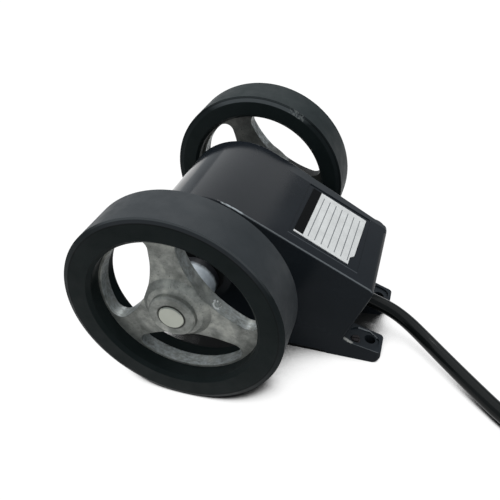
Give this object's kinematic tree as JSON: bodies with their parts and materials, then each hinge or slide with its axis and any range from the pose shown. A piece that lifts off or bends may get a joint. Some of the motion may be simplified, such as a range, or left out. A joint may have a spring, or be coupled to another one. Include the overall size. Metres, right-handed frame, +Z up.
{
  "type": "cable length counter",
  "caption": "Length counter with two spoked rubber-tyred measuring wheels on one shaft, a tilted cast housing with mounting feet, and a signal cable.",
  "frame": {"origin": "centre between the two foot bolt holes, on the plane the feet stand on", "axes": "+Z up from the mounting plane, +Y along the wheel shaft towards the right wheel, +X back from the wheels towards the feet and the cable"},
  "size_m": [0.2935, 0.1543, 0.0955],
  "materials": {
    "housing_paint": "black gloss enamel on cast aluminium",
    "tyre_rubber": "matt black moulded rubber",
    "cast_hub": "dull grey pressure-cast aluminium",
    "bright_steel": "turned steel, light machining marks",
    "screw_steel": "zinc-plated steel",
    "bearing_steel": "ground bearing steel",
    "spacer_aluminium": "bluish light grey anodised aluminium",
    "brass_parts": "plain turned brass",
    "gear_nylon": "natural nylon",
    "disc_film": "black slotted film on a stiff backing",
    "label_white": "white printed polyester with a black header band",
    "cable_pvc": "black semi-gloss PVC sheath",
    "grommet_rubber": "soft black rubber",
    "felt": "pressed grey wool felt",
    "gasket_rubber": "nitrile sheet",
    "board_green": "green solder-masked glass-fibre board",
    "chip_black": "black moulded epoxy",
    "header_plastic": "cream nylon connector",
    "can_aluminium": "sleeved aluminium can",
    "tie_nylon": "black nylon",
    "strap_fabric": "black hook-and-loop strap",
    "core_pvc": "coloured PVC insulation, a colour for each core"
  },
  "bodies": {
    "base": {"housing": "housing_paint", "side_cover": "housing_paint", "cover_gasket": "gasket_rubber", "cover_screws": "screw_steel", "label_plate": "label_white", "earth_screw": "screw_steel", "left_bearing_outer": "bearing_steel", "right_bearing_outer": "bearing_steel", "left_felt_seal": "felt", "right_felt_seal": "felt", "encoder_bushes": "brass_parts", "circuit_board": "board_green", "board_screws": "screw_steel", "optical_sensor": "chip_black", "wire_header": "header_plastic", "board_chips": "chip_black", "board_capacitor": "can_aluminium", "cable_grommet": "grommet_rubber", "cable_tail": "cable_pvc", "cable_tie": "tie_nylon", "lead_wires": "core_pvc", "cable": "cable_pvc", "cable_coil": "cable_pvc", "coil_tie": "strap_fabric", "cable_leads": "core_pvc"},
    "wheel_set": {"left_tyre": "tyre_rubber", "right_tyre": "tyre_rubber", "left_hub": "cast_hub", "right_hub": "cast_hub", "hub_grub_screws": "screw_steel", "wheel_shaft": "bright_steel", "left_spacer": "spacer_aluminium", "right_spacer": "spacer_aluminium", "shaft_circlips": "screw_steel", "left_bearing_inner": "bearing_steel", "right_bearing_inner": "bearing_steel", "drive_gear": "gear_nylon", "gear_grub_screw": "screw_steel"},
    "encoder": {"encoder_pinion": "gear_nylon", "encoder_shaft": "bright_steel", "code_disc": "disc_film", "disc_hub": "brass_parts"},
    "left_balls": {"left_bearing_balls": "bearing_steel", "left_bearing_cage": "brass_parts"},
    "right_balls": {"right_bearing_balls": "bearing_steel", "right_bearing_cage": "brass_parts"}
  },
  "joints": [
    {"name": "wheel_spin", "type": "hinge", "parent": "base", "child": "wheel_set", "pos_m": [-0.0774, 0.0031, 0.04775], "axis": [0, 1, 0], "continuous": true},
    {"name": "encoder_spin", "type": "hinge", "parent": "base", "child": "encoder", "pos_m": [-0.04902, 0.0031, 0.03297], "axis": [0, 1, 0], "continuous": true},
    {"name": "left_ball_orbit", "type": "hinge", "parent": "base", "child": "left_balls", "pos_m": [-0.0774, 0.0031, 0.04775], "axis": [0, 1, 0], "continuous": true},
    {"name": "right_ball_orbit", "type": "hinge", "parent": "base", "child": "right_balls", "pos_m": [-0.0774, 0.0031, 0.04775], "axis": [0, 1, 0], "continuous": true}
  ],
  "couplings": [
    {"joint": "encoder_spin", "follows": "wheel_spin", "ratio": -3},
    {"joint": "left_ball_orbit", "follows": "wheel_spin", "ratio": 0.4273},
    {"joint": "right_ball_orbit", "follows": "wheel_spin", "ratio": 0.4273}
  ]
}
